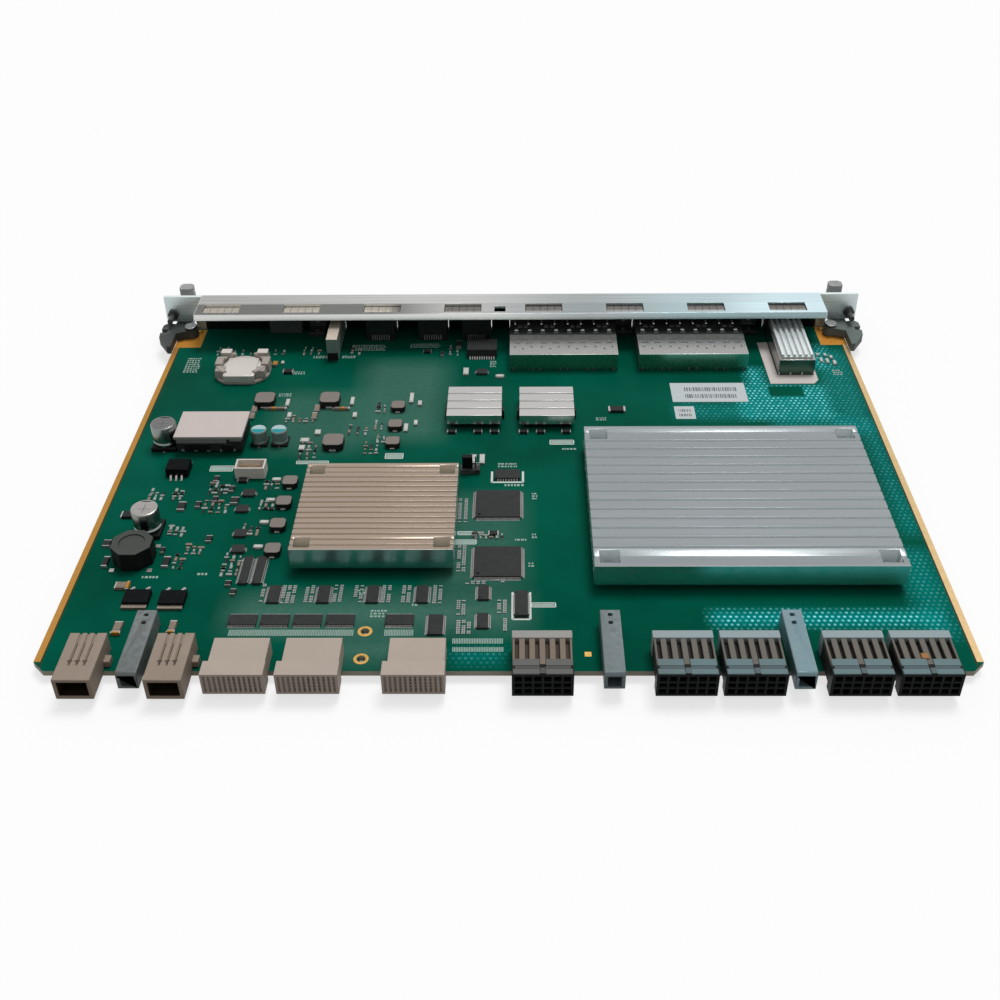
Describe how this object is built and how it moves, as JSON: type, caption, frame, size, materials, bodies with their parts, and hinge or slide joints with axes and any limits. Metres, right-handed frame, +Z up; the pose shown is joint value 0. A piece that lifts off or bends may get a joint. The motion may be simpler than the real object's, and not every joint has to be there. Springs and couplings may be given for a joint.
{
  "type": "uplink circuit card",
  "caption": "Large telecom circuit card with a windowed metal front panel, ejector levers, finned heat sinks, transceiver cages, network jacks and rear backplane connectors.",
  "frame": {"origin": "under the middle of the whole card, on the plane it lies on", "axes": "+X along the front panel, +Y from the backplane connectors towards the panel, +Z up from the component side"},
  "size_m": [0.384, 0.3076, 0.024],
  "materials": {
    "laminate": "green solder mask with gold edges",
    "panel_zinc": "bright plated sheet",
    "spring_metal": "bright spring sheet",
    "lever_plastic": "dark slate moulding",
    "fastener_steel": "plated steel",
    "bracket_metal": "bare",
    "shell_metal": "tinned sheet",
    "jack_plastic": "black moulding",
    "pipe_clear": "clear moulding",
    "socket_plastic": "black moulding",
    "film_plastic": "pale film",
    "sink_aluminium": "extruded, satin",
    "chip_black": "moulded chip",
    "power_beige": "beige moulding",
    "contact_brass": "plated contact",
    "guide_slate": "slate moulding",
    "signal_beige": "beige moulding",
    "fast_black": "black moulding",
    "wafer_beige": "stacked wafers",
    "stiffener_grey": "pale bar",
    "converter_pale": "pale plate",
    "converter_dark": "potted module",
    "can_aluminium": "drawn can",
    "base_black": "black foot",
    "polymer_can": "sleeved can",
    "choke_grey": "ferrite",
    "coil_grey": "moulded inductor",
    "header_cream": "cream moulding",
    "cap_black": "black cap",
    "cell_steel": "polished cell"
  },
  "bodies": {
    "card": {"circuit_board": "laminate", "front_panel": "panel_zinc", "contact_springs": "spring_metal", "pivot_pins": "fastener_steel", "panel_brackets": "bracket_metal", "board_screws": "fastener_steel", "panel_screws": "fastener_steel", "usb_socket": "shell_metal", "left_network_jack": "jack_plastic", "middle_network_jack": "jack_plastic", "right_network_jack": "jack_plastic", "light_pipes": "pipe_clear", "left_transceiver_cage": "shell_metal", "right_transceiver_cage": "shell_metal", "wide_cage": "shell_metal", "cage_sockets": "socket_plastic", "wide_cage_sink": "sink_aluminium", "cage_insulator": "film_plastic", "main_heat_sink": "sink_aluminium", "mid_heat_sink": "sink_aluminium", "small_heat_sinks": "sink_aluminium", "main_chip": "chip_black", "mid_chip": "chip_black", "small_sink_chips": "chip_black", "sink_screws": "fastener_steel", "sink_nuts": "fastener_steel", "left_power_connector": "power_beige", "right_power_connector": "power_beige", "power_contacts": "contact_brass", "left_guide_socket": "guide_slate", "middle_guide_socket": "guide_slate", "right_guide_socket": "guide_slate", "left_signal_connector": "signal_beige", "middle_signal_connector": "signal_beige", "right_signal_connector": "signal_beige", "high_speed_connector_1": "fast_black", "high_speed_connector_2": "fast_black", "high_speed_connector_3": "fast_black", "high_speed_connector_4": "fast_black", "high_speed_connector_5": "fast_black", "wafer_packs": "wafer_beige", "wafer_stiffeners": "stiffener_grey", "converter_body": "converter_dark", "converter_plate": "converter_pale", "electrolytic_cans": "can_aluminium", "can_bases": "base_black", "polymer_capacitors": "polymer_can", "choke": "choke_grey", "inductors": "coil_grey", "power_transistors": "chip_black", "flat_chips": "chip_black", "pin_headers": "header_cream", "jumper_cap": "cap_black", "coin_cell": "cell_steel", "coin_cell_holder": "header_cream"},
    "left_lever": {"left_ejector_lever": "lever_plastic"},
    "right_lever": {"right_ejector_lever": "lever_plastic"},
    "left_screw": {"left_captive_screw": "fastener_steel"},
    "right_screw": {"right_captive_screw": "fastener_steel"}
  },
  "joints": [
    {"name": "left_lever_pivot", "type": "hinge", "parent": "card", "child": "left_lever", "pos_m": [-0.176, 0.12375, 0.0071], "axis": [0, 0, 1], "range_deg": [0, 45]},
    {"name": "right_lever_pivot", "type": "hinge", "parent": "card", "child": "right_lever", "pos_m": [0.176, 0.12375, 0.0071], "axis": [0, 0, -1], "range_deg": [0, 45]},
    {"name": "left_screw_turn", "type": "hinge", "parent": "card", "child": "left_screw", "pos_m": [-0.187, 0.13225, 0.0134], "axis": [0, 1, 0], "continuous": true},
    {"name": "right_screw_turn", "type": "hinge", "parent": "card", "child": "right_screw", "pos_m": [0.187, 0.13225, 0.0134], "axis": [0, 1, 0], "continuous": true}
  ]
}
